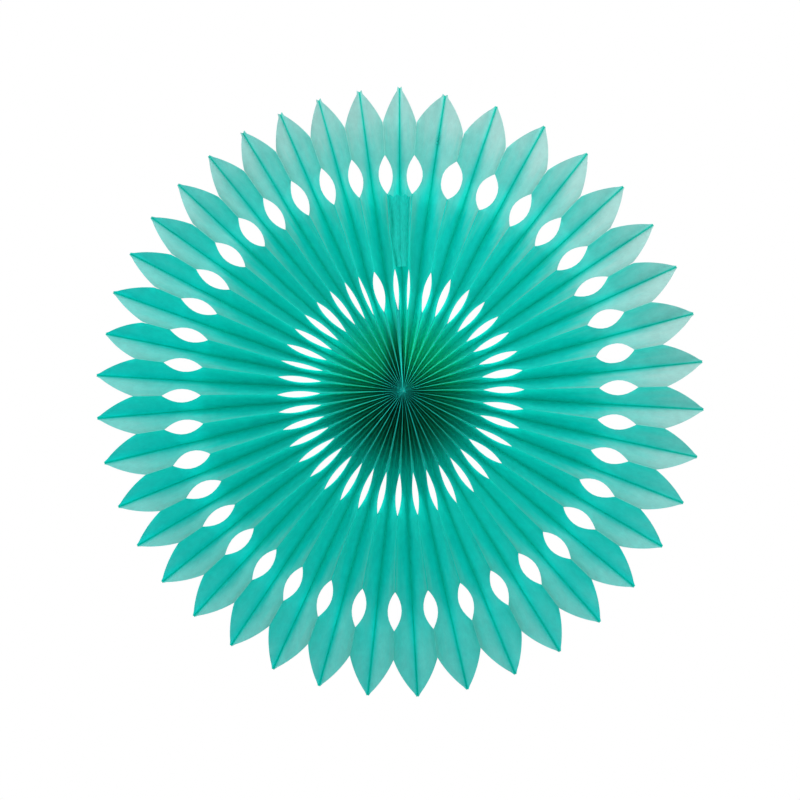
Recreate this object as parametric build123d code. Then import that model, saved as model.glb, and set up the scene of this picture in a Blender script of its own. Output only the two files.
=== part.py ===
"""Paper fan rosette: a strip of tissue, pleated, die cut and opened into a full circle.

The fan stands as it hangs on a wall: its axis lies along Y, the front faces -Y, +Z is up and
the wall is the plane y = 0. Petal tips and their folds, the valleys, lie towards the wall. The
folds with the eyes and the notches, the ridges, stand forward.
"""
from build123d import *
import os
from math import cos, pi, radians, sin, sqrt

# Driving dimensions of the cut and folded strip, in millimetres
fan_radius = 200.0          # centre to the tip of a petal
pleat_count = 41            # one petal to a pleat, two leaves to a pleat
leaf_width = 25.0           # valley fold to ridge fold, the width of the folded stack
paper = 0.08                # thickness of the tissue, drawn about twice as stout as it is
petal_length = 23.0         # notch to tip, along the radius
petal_bulge = 2.2           # how far a petal's side swells past a straight cut, across the leaf
rim_band = 21.0             # uncut ridge between the notch and the outer row of eyes
outer_eye_length = 25.5
outer_eye_depth = 12.2      # how deep the die cuts into the ridge, across the leaf
inner_eye_length = 27.5
inner_eye_depth = 9.6
centre_disc = 53.5          # radius inside which nothing is cut away

# The bunched middle doesn't lie flat: it pushes forward of the rim like a low cone
middle_push = 12.0
cone_curve = 1.3            # 1 is a straight cone, more eases into the flat ring of petals

# How tightly the leaves crowd at the centre, as a multiple of their thickness
stack_slack = 1.8

# How the fan was opened: the pleats left of the seam stayed tighter than the rest
seam_angle = 90.0           # degrees, anticlockwise from +X as seen from the front
tight_share = 0.82          # opening of the tightest pleats against the widest
tight_until = 0.055         # share of the way round, anticlockwise from the seam
wide_from = 0.59
unevenness = 0.025          # slow waves in the opening, on top of that
uneven_step = 0.358         # radians that the wave moves on from one pleat to the next

# The tape that closes the seam, laid in the valley across both end leaves
tape_thickness = 0.08

# Facets: how many flat steps a curve is drawn with
centre_steps = 4
band_steps = 2
eye_steps = 6
petal_steps = 5

# Radii that follow from the sizes above
centre_radius = stack_slack * 2 * pleat_count * paper / (2 * pi)
notch_radius = fan_radius - petal_length
outer_eye_end = notch_radius - rim_band
outer_eye_start = outer_eye_end - outer_eye_length
inner_eye_end = centre_disc + inner_eye_length

FRONT = Vector(0, -1, 0)
ANTICLOCKWISE = 1
CLOCKWISE = -1


# Where each pleat lies round the circle
def opening_share(pleat):
    """Opening of one pleat against the widest, counted anticlockwise from the seam."""
    way = (pleat / pleat_count - tight_until) / (wide_from - tight_until)
    way = min(max(way, 0.0), 1.0)
    eased = way * way * (3 - 2 * way)
    return tight_share + (1 - tight_share) * eased + unevenness * sin(uneven_step * pleat)


shares = [opening_share(pleat) for pleat in range(pleat_count)]
openings = [2 * pi * share / sum(shares) for share in shares]
tightest = min(openings) / 2

valley_angles = [radians(seam_angle)]
for pleat in range(1, pleat_count):
    valley_angles.append(valley_angles[-1] + (openings[pleat - 1] + openings[pleat]) / 2)


# The folded form: every leaf keeps its width, so it stands steeper where its folds are closer
def chord(radius, spread):
    """Distance between two neighbouring folds, seen from the front."""
    return 2 * radius * sin(spread / 2)


def rise(radius, spread):
    """How far a ridge stands in front of its valley."""
    return sqrt(leaf_width**2 - chord(radius, spread) ** 2)


def cone(radius):
    """How far the middle of the fan stands in front of its rim at this radius."""
    return middle_push * max(1 - radius / inner_eye_end, 0) ** cone_curve


def on_circle(angle, radius, forward):
    return Vector(radius * cos(angle), -forward - cone(radius), radius * sin(angle))


class Leaf:
    """One leaf of paper, from the valley of a pleat to the ridge on one side of it."""

    def __init__(self, pleat, side):
        self.pleat = pleat
        self.side = side
        self.spread = openings[pleat] / 2
        self.spread_beyond = openings[(pleat + side) % pleat_count] / 2
        self.valley_angle = valley_angles[pleat]
        self.ridge_angle = self.valley_angle + side * self.spread
        middle = self.valley_angle + side * self.spread / 2
        self.across = Vector(-sin(middle), 0, cos(middle)) * side

    def valley(self, radius):
        forward = rise(radius, tightest) - rise(radius, self.spread)
        return on_circle(self.valley_angle, radius, forward)

    def ridge(self, radius):
        return on_circle(self.ridge_angle, radius, rise(radius, tightest))

    def normal(self, radius):
        """Direction straight out of the leaf's front face."""
        lean = chord(radius, self.spread) / leaf_width
        return FRONT * lean - self.across * sqrt(1 - lean**2)

    def skin(self, radius, share, lift):
        """A point of the leaf's face that lies lift in front of the middle of the paper.

        share runs from 0 at the valley to 1 at the ridge. On the inside of a fold both leaves
        meet in one point, and on the outside each leaf has its own corner.
        """
        depth = lift * leaf_width / chord(radius, self.spread)
        if share == 1 and lift > 0:
            return self.ridge(radius) + self.normal(radius) * lift
        if share == 1:
            mean_chord = (chord(radius, self.spread) + chord(radius, self.spread_beyond)) / 2
            return self.ridge(radius) + FRONT * (lift * leaf_width / mean_chord)
        if share == 0 and lift < 0:
            return self.valley(radius) + self.normal(radius) * lift
        valley = self.valley(radius)
        return valley + (self.ridge(radius) - valley) * share + FRONT * depth


# The die's outline across a leaf, as (radius, share of the leaf that is left) from valley to edge
def uncut(start, end):
    return [(start, 1), (end, 1)]


def eye(start, length, depth):
    """Half of a pointed eye, cut into the ridge."""
    points = []
    for step in range(eye_steps + 1):
        way = step / eye_steps
        bite = depth * (1 - (2 * way - 1) ** 2)
        points.append((start + length * way, 1 - bite / leaf_width))
    return points


def petal_side():
    """From the notch on the ridge out to the tip on the valley."""
    points = []
    for step in range(petal_steps + 1):
        way = step / petal_steps
        swell = petal_bulge * (1 - (2 * way - 1) ** 2)
        points.append((notch_radius + petal_length * way, 1 - way + swell / leaf_width))
    return points


def centre_bands():
    """Uncut bands that grow outwards, because the folds crowd towards the centre."""
    growth = (centre_disc / centre_radius) ** (1 / centre_steps)
    radii = [centre_radius * growth**step for step in range(centre_steps)] + [centre_disc]
    return [uncut(start, end) for start, end in zip(radii, radii[1:])]


def middle_bands():
    step = (outer_eye_start - inner_eye_end) / band_steps
    radii = [inner_eye_end + step * band for band in range(band_steps)] + [outer_eye_start]
    return [uncut(start, end) for start, end in zip(radii, radii[1:])]


inner_stretch = centre_bands()
middle_stretch = middle_bands()
rim_stretch = [uncut(outer_eye_end, notch_radius)]
inner_eye = eye(centre_disc, inner_eye_length, inner_eye_depth)
outer_eye = eye(outer_eye_start, outer_eye_length, outer_eye_depth)
cut_bands = [inner_eye, outer_eye, petal_side()]
bands = inner_stretch + [inner_eye] + middle_stretch + [outer_eye] + rim_stretch + [petal_side()]


# Facets of the folded paper
def triangle(a, b, c):
    return Face(Wire.make_polygon([a, b, c], close=True))


def quad(a, b, c, d):
    return [triangle(a, b, c), triangle(a, c, d)]


def band_facets(leaf, band, lift):
    """One face of a leaf over one band, fanned from the valley to the die's outline."""
    rim = [leaf.skin(radius, share, lift) for radius, share in band]
    valley_start = leaf.skin(band[0][0], 0, lift)
    if band[-1][1] == 0:
        return [triangle(valley_start, a, b) for a, b in zip(rim, rim[1:])]
    valley_end = leaf.skin(band[-1][0], 0, lift)
    turn = (len(rim) + 1) // 2 if len(rim) == 2 else len(rim) // 2
    near = [triangle(valley_start, a, b) for a, b in zip(rim[:turn], rim[1 : turn + 1])]
    far = [triangle(valley_end, a, b) for a, b in zip(rim[turn:], rim[turn + 1 :])]
    return near + [triangle(valley_start, rim[turn], valley_end)] + far


def edge_facets(leaf, points, low, high):
    """The thin edge of the paper between two lifts, along a list of (radius, share)."""
    lower = [leaf.skin(radius, share, low) for radius, share in points]
    upper = [leaf.skin(radius, share, high) for radius, share in points]
    facets = []
    for step in range(len(points) - 1):
        facets += quad(lower[step], lower[step + 1], upper[step + 1], upper[step])
    return facets


def fold_facets(leaf, other, stretch, share, lift):
    """The narrow outside of a fold that two leaves share, closed at both ends."""
    radii = [band[0][0] for band in stretch] + [stretch[-1][-1][0]]
    mine = [leaf.skin(radius, share, lift) for radius in radii]
    theirs = [other.skin(radius, share, lift) for radius in radii]
    facets = []
    for step in range(len(radii) - 1):
        facets += quad(mine[step], mine[step + 1], theirs[step + 1], theirs[step])
    for end in (0, -1):
        facets.append(triangle(mine[end], theirs[end], leaf.skin(radii[end], share, -lift)))
    return facets


def solid_of(facets):
    return Solid(Shell(facets))


# The pleated sheet: one closed ring of leaves, glued end to end at the seam
def make_sheet():
    half = paper / 2
    inner_end = [(centre_radius, 0), (centre_radius, 1)]
    facets = []
    for pleat in range(pleat_count):
        left = Leaf(pleat, ANTICLOCKWISE)
        right = Leaf(pleat, CLOCKWISE)
        for leaf in (left, right):
            for band in bands:
                facets += band_facets(leaf, band, half)
                facets += band_facets(leaf, band, -half)
            for band in cut_bands:
                facets += edge_facets(leaf, band, -half, half)
            facets += edge_facets(leaf, inner_end, -half, half)
        facets += fold_facets(left, right, bands, 0, -half)
        beyond = Leaf((pleat + 1) % pleat_count, CLOCKWISE)
        for stretch in (inner_stretch, middle_stretch, rim_stretch):
            facets += fold_facets(left, beyond, stretch, 1, half)
    return solid_of(facets)


# The seam tape: it lies on the front of the two end leaves, between the two rows of eyes
def make_tape():
    under = paper / 2
    top = under + tape_thickness
    ends = (middle_stretch[0][0][0], middle_stretch[-1][-1][0])
    facets = []
    for side in (ANTICLOCKWISE, CLOCKWISE):
        leaf = Leaf(0, side)
        for band in middle_stretch:
            facets += band_facets(leaf, band, under)
            facets += band_facets(leaf, band, top)
            facets += edge_facets(leaf, band, under, top)
        for radius in ends:
            facets += edge_facets(leaf, [(radius, 0), (radius, 1)], under, top)
    return solid_of(facets)


os.makedirs("parts", exist_ok=True)
export_step(make_sheet(), "parts/pleated_sheet.step")
export_step(make_tape(), "parts/seam_tape.step")
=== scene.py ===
# %% [markdown]
# # A paper fan rosette, lit on white
#
# The object is a party decoration: one long strip of teal tissue paper that was pleated, die cut
# while it was folded shut, opened into a full circle and closed with a strip of tape. This lesson
# builds its looks in Blender, around a CAD model that already fixes every size.

# %% Load the CAD frame
from math import cos, pi, radians, sin, sqrt

import bpy
import numpy as np
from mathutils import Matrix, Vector


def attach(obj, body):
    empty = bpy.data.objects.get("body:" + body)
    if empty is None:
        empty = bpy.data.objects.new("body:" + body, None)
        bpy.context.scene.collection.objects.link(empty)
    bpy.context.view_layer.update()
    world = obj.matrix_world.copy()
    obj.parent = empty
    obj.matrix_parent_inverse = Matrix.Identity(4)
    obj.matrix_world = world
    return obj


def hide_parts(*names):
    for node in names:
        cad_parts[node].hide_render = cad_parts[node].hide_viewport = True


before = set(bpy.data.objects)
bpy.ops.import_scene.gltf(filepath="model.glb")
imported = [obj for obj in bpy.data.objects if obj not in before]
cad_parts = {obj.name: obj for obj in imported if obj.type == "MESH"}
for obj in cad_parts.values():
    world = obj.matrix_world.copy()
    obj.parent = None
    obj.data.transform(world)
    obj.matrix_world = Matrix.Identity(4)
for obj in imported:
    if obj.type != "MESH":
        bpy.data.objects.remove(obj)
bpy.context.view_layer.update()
MM = 0.001

# %% [markdown]
# ## How the strip was folded and cut
#
# A pleated fan needs very few sizes, because every leaf of paper is cut by the same die. A leaf
# is the flat stretch between two folds. It keeps its width wherever it is, so the closer its two
# folds lie to each other, the steeper it has to stand. We could trace every petal by hand, but
# then none of them would obey that rule, and the paper would look stretched.
#
# The folds that stand forward, towards us, are the ridges. They carry the eyes and the notches.
# The folds that lie back against the wall are the valleys, and each runs out into a petal's tip.

# %% Sizes of the cut and folded strip, in millimetres
FAN_RADIUS = 200.0
PLEATS = 41
FOLDS = 2 * PLEATS
LEAF_WIDTH = 25.0
NOTCH_RADIUS = 174.8
OUTER_EYE = (130.3, 155.8)
INNER_EYE = (53.3, 80.7)
print("the flat strip is", FOLDS * LEAF_WIDTH, "mm long, with", FOLDS, "folds")

# %% [markdown]
# ## Where each fold lies round the circle
#
# Nobody opens a fan evenly. On this one the pleats left of the seam stayed tighter than the ones
# opposite. One smooth formula for the opening of a pleat gives all the folds their angles. The
# pleats are counted anticlockwise from the seam, which is the valley at the very top.

# %% Angles of the folds
SEAM_ANGLE = 90.0
TIGHT_SHARE = 0.82                     # opening of the tightest pleats against the widest
TIGHT_UNTIL, WIDE_FROM = 0.055, 0.59   # shares of the way round
UNEVENNESS, UNEVEN_STEP = 0.025, 0.358


def ease(value, start, end):
    """0 at start, 1 at end and an even ease between. The start may be the larger of the two."""
    way = np.clip((value - start) / (end - start), 0, 1)
    return way * way * (3 - 2 * way)


def opening_share(pleat):
    """Opening of a pleat against the widest."""
    wide = ease(pleat / PLEATS, TIGHT_UNTIL, WIDE_FROM)
    return TIGHT_SHARE + (1 - TIGHT_SHARE) * wide + UNEVENNESS * sin(UNEVEN_STEP * pleat)


shares = np.array([opening_share(pleat) for pleat in range(PLEATS)])
openings = 2 * pi * shares / shares.sum()
tightest = openings.min() / 2
valley_angles = [radians(SEAM_ANGLE)]
for pleat in range(1, PLEATS):
    valley_angles.append(valley_angles[-1] + (openings[pleat - 1] + openings[pleat]) / 2)
in_degrees = np.degrees(openings).round(2)
print("pleats open by", in_degrees.min(), "to", in_degrees.max(), "degrees")

# %% [markdown]
# ## The grid that a leaf is built on
#
# Every leaf gets the same grid: columns along the radius, closer together where the die cut
# curves, and rows across the paper. Stopping the rows at the die's outline gives clean cut edges
# without any boolean, and the folds of neighbouring leaves can share their points.

# %% Columns along the radius and rows across a leaf
HUB_RADIUS = 0.12
HUB_COLUMNS, EYE_COLUMNS, RING_COLUMNS, BAND_COLUMNS, PETAL_COLUMNS = 18, 12, 10, 5, 10
LEAF_ROWS = 9
TURN_ROWS = 3     # rows round the tight turn of the ridge
ROWS = LEAF_ROWS + TURN_ROWS


def eased_steps(start, end, count):
    """Radii from start to end, closer together at both ends."""
    way = (1 - np.cos(np.linspace(0, pi, count + 1))) / 2
    return start + (end - start) * way


radii = np.concatenate([
    np.geomspace(HUB_RADIUS, INNER_EYE[0], HUB_COLUMNS + 1)[:-1],
    eased_steps(*INNER_EYE, EYE_COLUMNS)[:-1],
    np.linspace(INNER_EYE[1], OUTER_EYE[0], RING_COLUMNS + 1)[:-1],
    eased_steps(*OUTER_EYE, EYE_COLUMNS)[:-1],
    np.linspace(OUTER_EYE[1], NOTCH_RADIUS, BAND_COLUMNS + 1)[:-1],
    np.linspace(NOTCH_RADIUS, FAN_RADIUS, PETAL_COLUMNS + 1),
])
print(len(radii), "columns and", ROWS, "rows in each of", FOLDS, "leaves")

# %% [markdown]
# ## How deep the die bit into each ridge
#
# The die is the same for all, but the paper crept a little while it was opened, so seen from the front some
# eyes gape and others are pressed to a slit, most of all beside the seam. The bites follow a few slow waves
# round the fan. The handful of eyes that stand out from those waves are listed one by one, because they are
# what the eye notices.

# %% Bites of the two rows of eyes, and the notches
NEAR_SEAM = [40, 0, 1, 2, 3, 4]
FURTHER_OFF = [5, 6, 7, 8, 9, 34, 35, 36, 37, 38, 39]


def round_the_fan(mean, waves, standing_out):
    """One value for each pleat: a mean, slow waves as (times round the fan, height of the cosine, height of
    the sine), and the few pleats that stand out, listed one by one."""
    way = 2 * pi * np.arange(PLEATS) / PLEATS
    values = np.full(PLEATS, mean)
    for times, cosine, sine in waves:
        values += cosine * np.cos(times * way) + sine * np.sin(times * way)
    for pleat, value in standing_out.items():
        values[pleat] = value
    return values


outer_bites = round_the_fan(
    0.435, [(1, 0.035, 0.0), (3, 0.015, 0.0)],
    {5: 0.52, 6: 0.48, 13: 0.51, 14: 0.48, 32: 0.54, 33: 0.50, 38: 0.53, 39: 0.54},
)
inner_bites = round_the_fan(
    0.38, [(1, 0.015, 0.0), (2, -0.02, -0.01)],
    {0: 0.33, 1: 0.62, 2: 0.27, 5: 0.47, 9: 0.31, 27: 0.44, 28: 0.30, 32: 0.48, 40: 0.17},
)
notch_shift = np.zeros(PLEATS)         # millimetres further out
notch_shift[NEAR_SEAM] = 2.2
notch_shift[FURTHER_OFF] = -0.8
print("outer eyes take", outer_bites.min().round(2), "to", outer_bites.max().round(2), "of a leaf's width")

# %% [markdown]
# ## The die's outline
#
# Seen from the front, an eye is a pointed oval across a ridge, and a petal narrows from the notch
# on the ridge to the tip on the valley, with a slight swell. A parabola across the leaf gives all
# of these curves. Where an eye gapes, a higher power rounds its ends off.

# %% How far the paper reaches from its valley towards its ridge
PETAL_SWELL = 0.09
POINTED = 2.0        # the power of a parabola
GAPE_FROM = 0.5      # an eye that bites deeper than this share has rounded ends
GAPE_ROUNDS = 12


def hump(radius, span, roundness=POINTED):
    """A hump of height 1 over a span of radii, zero outside."""
    way = np.clip((radius - span[0]) / (span[1] - span[0]), 0, 1)
    return 1 - np.abs(2 * way - 1) ** roundness


def reach(radius, ridge, tip_share):
    """Share of the way from valley to ridge that is paper, as the front view shows it."""
    notch = NOTCH_RADIUS + notch_shift[ridge]
    petal = np.clip((radius - notch) / (FAN_RADIUS - notch), 0, 1)
    swell = PETAL_SWELL * hump(radius, (notch, FAN_RADIUS))
    paper = max(1 - petal + swell, tip_share)
    roundness = POINTED + GAPE_ROUNDS * max(outer_bites[ridge] - GAPE_FROM, 0)
    paper -= outer_bites[ridge] * hump(radius, OUTER_EYE, roundness)
    return paper - inner_bites[ridge] * hump(radius, INNER_EYE)


middle_of_eye = sum(OUTER_EYE) / 2
print("paper left beside an outer eye:", round(reach(middle_of_eye, 20, 0.0), 2), "of the leaf")

# %% [markdown]
# ## The leaf's cross section
#
# Pressed tissue isn't quite flat between its folds: it leaves each fold steeply and eases in
# between, like a very shallow S. At the ridge the paper turns over in a tight round bend, which
# catches the light as a thin pale line. The section is worked out as a fine table of points, from
# which the rows are then read.

# %% One cross section, as distances across and forward
S_SHAPE = 0.5               # 0 is a flat leaf
S_LIMIT = 0.9               # a leaf that lies nearly flat has no length to spare for an S
TURN_AT_HUB, TURN_OUTSIDE = 0.05, 0.26   # radius of the ridge's turn
TURN_FULL = 45.0            # the radius of the fan from which it is as large as outside
BLUNT_FULL, BLUNT_ENDS = 65.0, 95.0      # some ridges are blunter inside this stretch
LARGEST_TURN = 0.6
TABLE = np.linspace(0, 1, 121)
TURN_STARTS = len(TABLE) - 1
TURN_STEPS = 12
TABLE_END = TURN_STARTS + TURN_STEPS


def chord(radius, spread):
    """Distance between two neighbouring folds, seen from the front."""
    return 2 * radius * sin(spread / 2)


def rise(radius, spread):
    """How far a ridge stands in front of its valley."""
    return sqrt(LEAF_WIDTH**2 - chord(radius, spread) ** 2)


def section(radius, spread, bluntness=1.0):
    """Distances across and forward of a leaf's points, from the valley to the top of its ridge."""
    width, height = chord(radius, spread), rise(radius, spread)
    turn = TURN_AT_HUB + (TURN_OUTSIDE - TURN_AT_HUB) * ease(radius, 0, TURN_FULL)
    turn = turn * (1 + (bluntness - 1) * ease(radius, BLUNT_ENDS, BLUNT_FULL))
    turn = min(turn, LARGEST_TURN * width)
    s_shape = min(S_SHAPE, S_LIMIT * (LEAF_WIDTH / width - 1))
    lean = width / LEAF_WIDTH * (1 - s_shape * np.cos(2 * pi * TABLE))
    climb = np.concatenate([[0], np.cumsum(np.sqrt(1 - np.minimum(lean[1:], 1) ** 2))])
    across = (width - turn) * (TABLE - s_shape * np.sin(2 * pi * TABLE) / (2 * pi))
    forward = (height - turn) * climb / climb[-1]
    bend = np.linspace(0, pi / 2, TURN_STEPS + 1)[1:]
    across = np.concatenate([across, width - turn * np.cos(bend)])
    forward = np.concatenate([forward, height - turn + turn * np.sin(bend)])
    return across, forward


for radius in (INNER_EYE[0], NOTCH_RADIUS):
    print("at radius", radius, "a ridge stands", round(rise(radius, tightest), 1), "mm forward")

# %% [markdown]
# ## Small unevenness
#
# Thin paper never hangs perfectly still. Three slow waves with seeded phases push the middle of
# each leaf in or out by a few tenths of a millimetre, which breaks up the shading of the petals.
# At the folds the push is nothing, so neighbouring leaves stay joined.
#
# The bunched middle is thicker than the rest, so it doesn't lie flat against the wall: it pushes
# forward of the rim like a low cone.

# %% Waves in a leaf, and the raised middle
WAVE_HEIGHT = 0.35
WAVE_LENGTHS = (22, 60)
WAVES_IN_A_LEAF = 3
WAVES_START, WAVES_FULL = 40.0, 100.0
MIDDLE_PUSH = 12.0
CONE_EDGE = 81.0
CONE_CURVE = 1.3    # 1 is a straight cone, more eases into the flat ring of petals
rng = np.random.default_rng(41)
wave_lengths = rng.uniform(*WAVE_LENGTHS, (FOLDS, WAVES_IN_A_LEAF))
wave_phases = rng.uniform(0, 2 * pi, (FOLDS, WAVES_IN_A_LEAF))


def wave(leaf, radius, share):
    """Push of a point forward, in millimetres, by the waves of a leaf or a slice of leaves."""
    slow = np.sin(2 * pi * radius / wave_lengths[leaf] + wave_phases[leaf]).sum()
    return WAVE_HEIGHT * slow * np.sin(pi * share) * ease(radius, WAVES_START, WAVES_FULL)


def cone(radius):
    """How far the middle stands in front of the rim at this radius."""
    return MIDDLE_PUSH * max(1 - radius / CONE_EDGE, 0) ** CONE_CURVE


print("waves are", wave_lengths.min().round(), "to", wave_lengths.max().round(), "mm long")

# %% [markdown]
# ## Folds that aren't quite straight
#
# Each fold is pulled a little sideways, by different amounts at the two rows of eyes, so it bends
# gently on its way out. The whole middle was also pulled up and to the right as the fan was
# hung. Small shifts like these, of a degree or two, are what makes a folded thing look handled
# instead of drawn with compasses. They come from the same slow waves as the bites.

# %% Where a fold lies at a radius
HUB_SHIFT = (2.0, 1.2)      # right and up, in millimetres
HUB_SHIFT_FULL, HUB_SHIFT_ENDS = 10.0, 115.0
SHIFT_STARTS, SHIFT_FULL = 15.0, 55.0
INNER_ENDS, OUTER_FULL = 70.0, 105.0
outer_ridge_shift = round_the_fan(
    -0.31, [(1, -0.05, 0.15), (2, 0.12, 0.11), (3, 0.06, 0.10)],
    {1: 0.2, 5: -0.35, 13: 0.4, 14: 0.45, 33: -0.3, 34: -0.2, 37: -1.0, 40: 0.35},
)
inner_ridge_shift = round_the_fan(
    -0.36, [(1, -0.19, 0.42), (2, -0.14, 0.07), (3, 0.0, 0.11)],
    {0: -1.3, 1: 1.1, 2: 0.95, 8: 0.2, 9: 0.2, 10: -0.3, 34: -0.35, 37: -1.3, 40: 0.0},
)


def of_all_folds(ridge_degrees):
    """Shifts of all folds, in radians: a valley takes the mean of the ridges beside it."""
    ridges = np.radians(ridge_degrees)
    return np.stack([(ridges + np.roll(ridges, 1)) / 2, ridges], axis=1).ravel()


outer_shift, inner_shift = of_all_folds(outer_ridge_shift), of_all_folds(inner_ridge_shift)


def fold_angle(fold, radius):
    """Angle of a fold at a radius. Even folds are valleys, odd ones ridges."""
    fold %= FOLDS
    even_place = valley_angles[fold // 2] + (fold % 2) * openings[fold // 2] / 2
    inner = ease(radius, OUTER_FULL, INNER_ENDS)
    shift = outer_shift[fold] * (1 - inner) + inner_shift[fold] * inner
    return even_place + shift * ease(radius, SHIFT_STARTS, SHIFT_FULL)


def chord_points(pleat, side, radius, point_radius, way, forward):
    """Points on the straight line from fold to fold, as the front view shows it."""
    start, end = fold_angle(2 * pleat, radius), fold_angle(2 * pleat + side, radius)
    x = point_radius * (cos(start) * (1 - way) + cos(end) * way)
    z = point_radius * (sin(start) * (1 - way) + sin(end) * way)
    held = ease(radius, HUB_SHIFT_ENDS, HUB_SHIFT_FULL)
    return np.stack([x + HUB_SHIFT[0] * held, -(forward + cone(radius)), z + HUB_SHIFT[1] * held], axis=-1)


print("folds are shifted by up to", np.degrees(np.abs(inner_shift)).max().round(2), "degrees")

# %% [markdown]
# ## Blunt ridges and split tips
#
# A few ridges were pressed less sharply than the rest, most of all the one left of the seam. The
# tips differ too: a petal is up to two millimetres longer or shorter than its neighbours, and
# next to the seam, where the strip was handled most, the tips are blunt and split along the fold.

# %% Differences from pleat to pleat
bluntness = rng.uniform(0.6, 1.4, PLEATS)
bluntness[0] = 4.5
bluntness[[17, 20, 23]] = 1.8
petal_extra = np.full(PLEATS, 0.5)     # millimetres longer than the die's outline
petal_extra[:8] = (2.0, 1.2, 1.2, 0.9, 1.2, 1.0, 1.0, 1.0)
petal_extra[[10, 38, 39, 40]] = (-2.0, 0.0, -0.6, -1.0)
tip_width = np.full(PLEATS, 0.7)       # millimetres of paper left beside the fold at the tip
tip_nick = np.full(PLEATS, 0.15)       # how deep the tip is split
tip_width[NEAR_SEAM] = 1.5
tip_nick[NEAR_SEAM] = 0.9
print("petals differ in length by", petal_extra.max() - petal_extra.min(), "mm")

# %% [markdown]
# ## One leaf, point by point
#
# At each column the rows run from the valley up to the ridge, or only up to the die's outline
# where it cuts the leaf short. Spacing them along the paper, and not across the view, keeps the
# faces even however steeply the leaf stands.

# %% Points of one leaf
REACHES_RIDGE = 0.9999
TURN_SHARE = 0.985     # share of the leaf's width at which the ridge's turn starts
table_places = np.arange(TABLE_END + 1)
row_places = np.concatenate([
    np.linspace(0, TURN_STARTS, LEAF_ROWS + 1),
    np.linspace(TURN_STARTS, TABLE_END, TURN_ROWS + 1)[1:],
])


def leaf_points(pleat, side):
    """Points of a leaf by column and row from its valley outwards, their shares of the leaf's
    width on the flat strip, and which columns reach the ridge."""
    spread = openings[pleat] / 2
    ridge = pleat if side > 0 else (pleat - 1) % PLEATS
    leaf = 2 * pleat + (side > 0)
    grid, flat_shares, reached = [], [], []
    for radius in radii:
        across, forward = section(radius, spread, bluntness[ridge])
        width = across[-1]
        share = reach(radius, ridge, tip_width[pleat] / width)
        full = share > REACHES_RIDGE
        stop = TABLE_END if full else np.interp(share * width, across, table_places)
        rows = row_places * stop / TABLE_END
        way = np.interp(rows, table_places, across) / width
        height = np.interp(rows, table_places, forward)
        petal = max(radius - NOTCH_RADIUS, 0) / (FAN_RADIUS - NOTCH_RADIUS)
        point_radius = np.full(ROWS + 1, radius + petal_extra[pleat] * petal**2)
        if radius == radii[-1]:
            point_radius -= tip_nick[pleat] * (1 - row_places / TABLE_END)
        in_front = rise(radius, tightest) - rise(radius, spread) + height + wave(leaf, radius, way)
        grid.append(chord_points(pleat, side, radius, point_radius, way, in_front))
        flat_shares.append(np.interp(rows, [0, TURN_STARTS, TABLE_END], [0, TURN_SHARE, 1]))
        reached.append(full)
    return np.array(grid), flat_shares, reached


whole_columns = sum(leaf_points(0, 1)[2])
print("a leaf has", whole_columns, "columns from fold to fold and", len(radii) - whole_columns, "cut short")

# %% [markdown]
# ## Weld the leaves into one strip
#
# The 82 leaves become one mesh. Points on a fold are shared, so light and shade run over a ridge
# without a break, and the valleys are marked sharp, because there the crease was pressed in. A
# second set of coordinates, the UV map, remembers where each point lies on the flat strip in
# millimetres. Fibres and creases drawn with it follow the paper round every fold.

# %% Join the points of all the leaves
points, faces, flat = [], [], []
welded = {}
valley_edges = set()


def vertex(key, point):
    """Number of the point with this key, added if it is new."""
    if key not in welded:
        welded[key] = len(points)
        points.append(point * MM)
    return welded[key]


def point_numbers(pleat, side):
    """Numbers of a leaf's points by column and row, and the shares that place them on the strip."""
    grid, flat_shares, reached = leaf_points(pleat, side)
    ridge = pleat if side > 0 else (pleat - 1) % PLEATS
    numbers = np.empty(grid.shape[:2], dtype=int)
    for column in range(len(radii)):
        for row in range(ROWS + 1):
            key = (pleat, side, column, row)
            if row == 0:
                key = ("valley", pleat, column)
            if row == ROWS and reached[column]:
                key = ("ridge", ridge, column)
            numbers[column, row] = vertex(key, grid[column, row])
    return numbers, flat_shares


for pleat in range(PLEATS):
    for side in (1, -1):
        numbers, flat_shares = point_numbers(pleat, side)
        for column in range(len(radii) - 1):
            valley_edges.add(frozenset((int(numbers[column, 0]), int(numbers[column + 1, 0]))))
            for row in range(ROWS):
                loop = [(column, row), (column + 1, row), (column + 1, row + 1), (column, row + 1)]
                loop = loop if side < 0 else loop[::-1]
                faces.append([numbers[corner] for corner in loop])
                for c, r in loop:
                    flat.append((radii[c], LEAF_WIDTH * (2 * pleat + side * flat_shares[c][r])))
print("sheet:", len(points), "points", len(faces), "faces")

# %% [markdown]
# ## From points to paper
#
# The sheet is a single surface without thickness, because light should pass it once, as it
# passes real tissue. Two surfaces close together would each take their share of the light.

# %% Make the sheet


def paper_piece(name, points, faces, flat):
    """A smooth mesh whose UV map says where each corner lies on the flat strip, in millimetres."""
    mesh = bpy.data.meshes.new(name)
    mesh.from_pydata(points, [], faces)
    uv = mesh.uv_layers.new(name="flat_strip")
    uv.data.foreach_set("uv", np.array(flat, dtype=float).ravel())
    mesh.shade_smooth()
    piece = bpy.data.objects.new(name, mesh)
    bpy.context.scene.collection.objects.link(piece)
    return piece


sheet = paper_piece("tissue_sheet", points, faces, flat)
for edge in sheet.data.edges:
    edge.use_edge_sharp = frozenset(edge.vertices) in valley_edges
print("sharp valley edges:", sum(edge.use_edge_sharp for edge in sheet.data.edges))

# %% [markdown]
# ## The tape that closes the seam
#
# The two end leaves are held together by a strip of the same tissue, glued in the valley at the
# top between the two rows of eyes. It bridges most of the valley's depth, its glue drew it into
# faint ribs, and its right edge was torn in a slow wave. We could colour that part of the sheet
# instead, but then the tape's own edges and the hollow behind it would be lost.

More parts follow.
